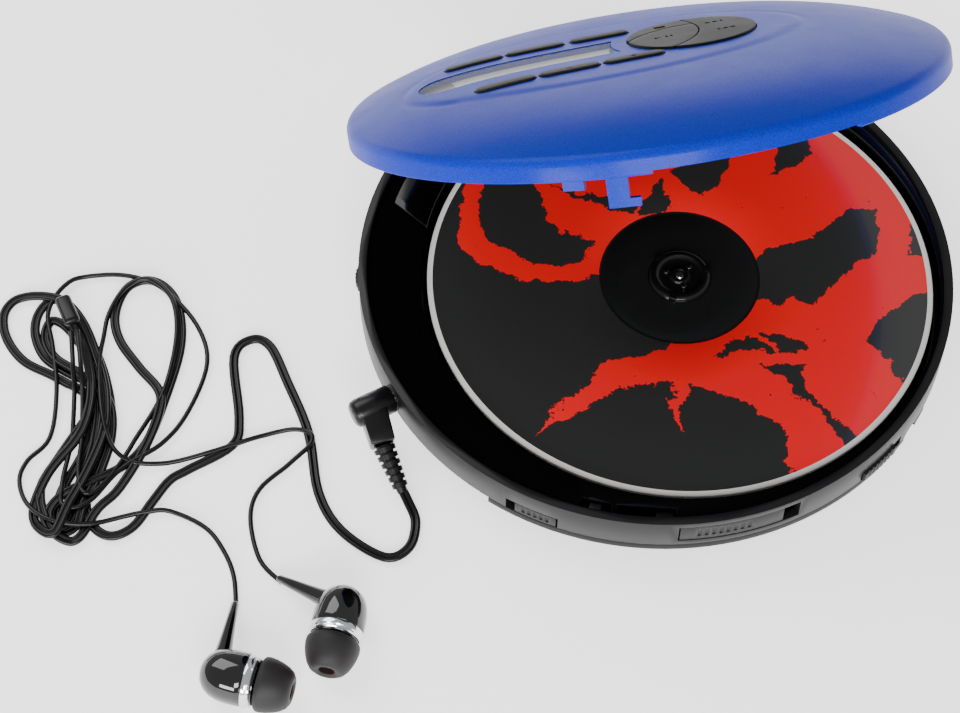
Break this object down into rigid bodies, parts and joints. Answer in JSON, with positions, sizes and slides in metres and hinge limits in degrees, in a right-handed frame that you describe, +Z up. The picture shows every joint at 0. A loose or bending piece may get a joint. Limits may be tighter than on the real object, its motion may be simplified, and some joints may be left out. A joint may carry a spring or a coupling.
{
  "type": "portable disc player",
  "caption": "Pocket player for 120 mm discs: round hinged lid standing open over a disc on its spindle, with keys, sliders and a pair of earphones plugged in.",
  "frame": {"origin": "centre of the flat underside of the case", "axes": "+Z up, away from the surface it lies on; -Y towards the latch and the sliders; +Y towards the lid hinge; +X to the right"},
  "size_m": [0.2253, 0.1586, 0.1061],
  "materials": {
    "case_black": "moulded black ABS, lightly textured",
    "deck_gloss": "polished black ABS deck with a satin side wall",
    "screw_steel": "blackened steel",
    "foot_rubber": "soft black rubber",
    "cell_sleeve": "shrink sleeve",
    "contact_spring": "plated spring leaf",
    "circuit_board": "glass-fibre board with green resist",
    "chip_black": "moulded epoxy",
    "socket_black": "moulded nylon",
    "mech_steel": "zinc-plated sheet",
    "motor_steel": "bright steel",
    "hub_black": "moulded black acetal",
    "disc_print": "polycarbonate disc with a printed upper face",
    "lens_glass": "coated lens",
    "gear_white": "natural acetal",
    "pinion_brass": "turned brass",
    "control_grey": "moulded dark grey ABS",
    "lid_blue": "ABS with a satin metallic blue lacquer",
    "lcd_silver": "reflective liquid crystal cell",
    "window_clear": "clear polished acrylic",
    "key_grey": "moulded warm grey ABS",
    "cord_black": "soft black PVC",
    "plug_metal": "nickel plate",
    "bud_gloss": "polished black ABS",
    "ring_chrome": "bright chrome plate",
    "tip_silicone": "translucent dark silicone"
  },
  "bodies": {
    "base": {"bottom_case": "case_black", "deck_case": "deck_gloss", "case_screws": "screw_steel", "rubber_feet": "foot_rubber", "battery_door": "deck_gloss", "battery_cells": "cell_sleeve", "battery_contacts": "contact_spring", "main_board": "circuit_board", "side_board": "circuit_board", "board_chips": "chip_black", "earphone_jack": "socket_black", "line_jack": "socket_black", "switch_bodies": "socket_black", "volume_pot": "socket_black", "mech_chassis": "mech_steel", "dampers": "foot_rubber", "spindle_motor": "motor_steel", "guide_rods": "motor_steel", "feed_motor": "motor_steel", "hinge_pins": "motor_steel"},
    "turntable": {"turntable": "hub_black"},
    "disc": {"disc": "disc_print"},
    "pickup": {"pickup_sled": "hub_black", "pickup_lens": "lens_glass"},
    "feed_gear": {"feed_gear": "gear_white"},
    "motor_pinion": {"motor_pinion": "pinion_brass"},
    "lid_plunger": {"lid_plunger": "control_grey"},
    "open_slider": {"open_slider": "control_grey"},
    "hold_slider": {"hold_slider": "control_grey"},
    "tone_slider": {"tone_slider": "control_grey"},
    "volume_wheel": {"volume_wheel": "control_grey"},
    "lid": {"lid_shell": "lid_blue", "lid_liner": "case_black", "key_board": "circuit_board", "lcd_panel": "lcd_silver", "display_window": "window_clear"},
    "upper_left_button": {"upper_left_button": "key_grey"},
    "upper_middle_button": {"upper_middle_button": "key_grey"},
    "upper_right_button": {"upper_right_button": "key_grey"},
    "lower_left_button": {"lower_left_button": "key_grey"},
    "lower_middle_button": {"lower_middle_button": "key_grey"},
    "lower_right_button": {"lower_right_button": "key_grey"},
    "stop_key": {"stop_key": "key_grey"},
    "play_key": {"play_key": "key_grey"},
    "skip_key": {"skip_key": "key_grey"},
    "earphones": {"plug": "cord_black", "plug_tip": "plug_metal", "plug_relief": "cord_black", "twin_cord": "cord_black", "cord_hank": "cord_black", "cord_splitter": "cord_black", "left_wire": "cord_black", "right_wire": "cord_black", "left_earbud": "bud_gloss", "right_earbud": "bud_gloss", "bud_rings": "ring_chrome", "bud_reliefs": "cord_black", "left_eartip": "tip_silicone", "right_eartip": "tip_silicone"}
  },
  "joints": [
    {"name": "lid_hinge", "type": "hinge", "parent": "base", "child": "lid", "pos_m": [0, 0.0675, 0.015], "axis": [-1, 0, 0], "range_deg": [-39.5, 35]},
    {"name": "turntable_spin", "type": "hinge", "parent": "base", "child": "turntable", "pos_m": [0.0055, -0.0025, 0], "axis": [0, 0, 1], "continuous": true},
    {"name": "disc_lift", "type": "slide", "parent": "turntable", "child": "disc", "axis": [0, 0, 1], "range_m": [0, 0.006]},
    {"name": "pickup_slide", "type": "slide", "parent": "base", "child": "pickup", "axis": [-0.8231, -0.5678, 0], "range_m": [0, 0.032]},
    {"name": "feed_gear_spin", "type": "hinge", "parent": "base", "child": "feed_gear", "pos_m": [-0.00586, -0.03534, 0.0025], "axis": [0, 0, 1], "range_deg": [-5, 520]},
    {"name": "motor_pinion_spin", "type": "hinge", "parent": "base", "child": "motor_pinion", "pos_m": [0.00406, -0.0285, 0.0022], "axis": [0, 0, 1], "range_deg": [-1560, 15]},
    {"name": "lid_plunger_press", "type": "slide", "parent": "base", "child": "lid_plunger", "axis": [0, 0, -1], "range_m": [0, 0.0015], "stiffness_N_per_m": 60},
    {"name": "open_slider_turn", "type": "hinge", "parent": "base", "child": "open_slider", "pos_m": [0, 0, 0.012], "axis": [0, 0, 1], "range_deg": [0, 2.8], "stiffness_Nm_per_rad": 0.8},
    {"name": "hold_slider_turn", "type": "hinge", "parent": "base", "child": "hold_slider", "pos_m": [0, 0, 0.009], "axis": [0, 0, 1], "range_deg": [-1.6, 0]},
    {"name": "tone_slider_turn", "type": "hinge", "parent": "base", "child": "tone_slider", "pos_m": [0, 0, 0.009], "axis": [0, 0, 1], "range_deg": [0, 2]},
    {"name": "volume_wheel_turn", "type": "hinge", "parent": "base", "child": "volume_wheel", "pos_m": [-0.06282, 0.01508, 0.0108], "axis": [0, 0, 1], "range_deg": [-140, 140]},
    {"name": "upper_left_button_press", "type": "slide", "parent": "lid", "child": "upper_left_button", "axis": [0, -0.6361, -0.7716], "range_m": [0, 0.0007], "stiffness_N_per_m": 400},
    {"name": "upper_middle_button_press", "type": "slide", "parent": "lid", "child": "upper_middle_button", "axis": [0, -0.6361, -0.7716], "range_m": [0, 0.0007], "stiffness_N_per_m": 400},
    {"name": "upper_right_button_press", "type": "slide", "parent": "lid", "child": "upper_right_button", "axis": [0, -0.6361, -0.7716], "range_m": [0, 0.0007], "stiffness_N_per_m": 400},
    {"name": "lower_left_button_press", "type": "slide", "parent": "lid", "child": "lower_left_button", "axis": [0, -0.6361, -0.7716], "range_m": [0, 0.0007], "stiffness_N_per_m": 400},
    {"name": "lower_middle_button_press", "type": "slide", "parent": "lid", "child": "lower_middle_button", "axis": [0, -0.6361, -0.7716], "range_m": [0, 0.0007], "stiffness_N_per_m": 400},
    {"name": "lower_right_button_press", "type": "slide", "parent": "lid", "child": "lower_right_button", "axis": [0, -0.6361, -0.7716], "range_m": [0, 0.0007], "stiffness_N_per_m": 400},
    {"name": "stop_key_press", "type": "slide", "parent": "lid", "child": "stop_key", "axis": [0, -0.6361, -0.7716], "range_m": [0, 0.0007], "stiffness_N_per_m": 400},
    {"name": "play_key_press", "type": "slide", "parent": "lid", "child": "play_key", "axis": [0, -0.6361, -0.7716], "range_m": [0, 0.0007], "stiffness_N_per_m": 400},
    {"name": "skip_key_rock", "type": "hinge", "parent": "lid", "child": "skip_key", "pos_m": [0.02, 0.0226, 0.06665], "axis": [1, 0, 0], "range_deg": [-2, 2], "stiffness_Nm_per_rad": 0.05},
    {"name": "plug_pull", "type": "slide", "parent": "base", "child": "earphones", "axis": [-0.9659, -0.2588, 0], "range_m": [0, 0.02]}
  ],
  "couplings": [
    {"joint": "feed_gear_spin", "follows": "pickup_slide", "rad_per_m": 277.78},
    {"joint": "motor_pinion_spin", "follows": "pickup_slide", "rad_per_m": -833.33}
  ]
}
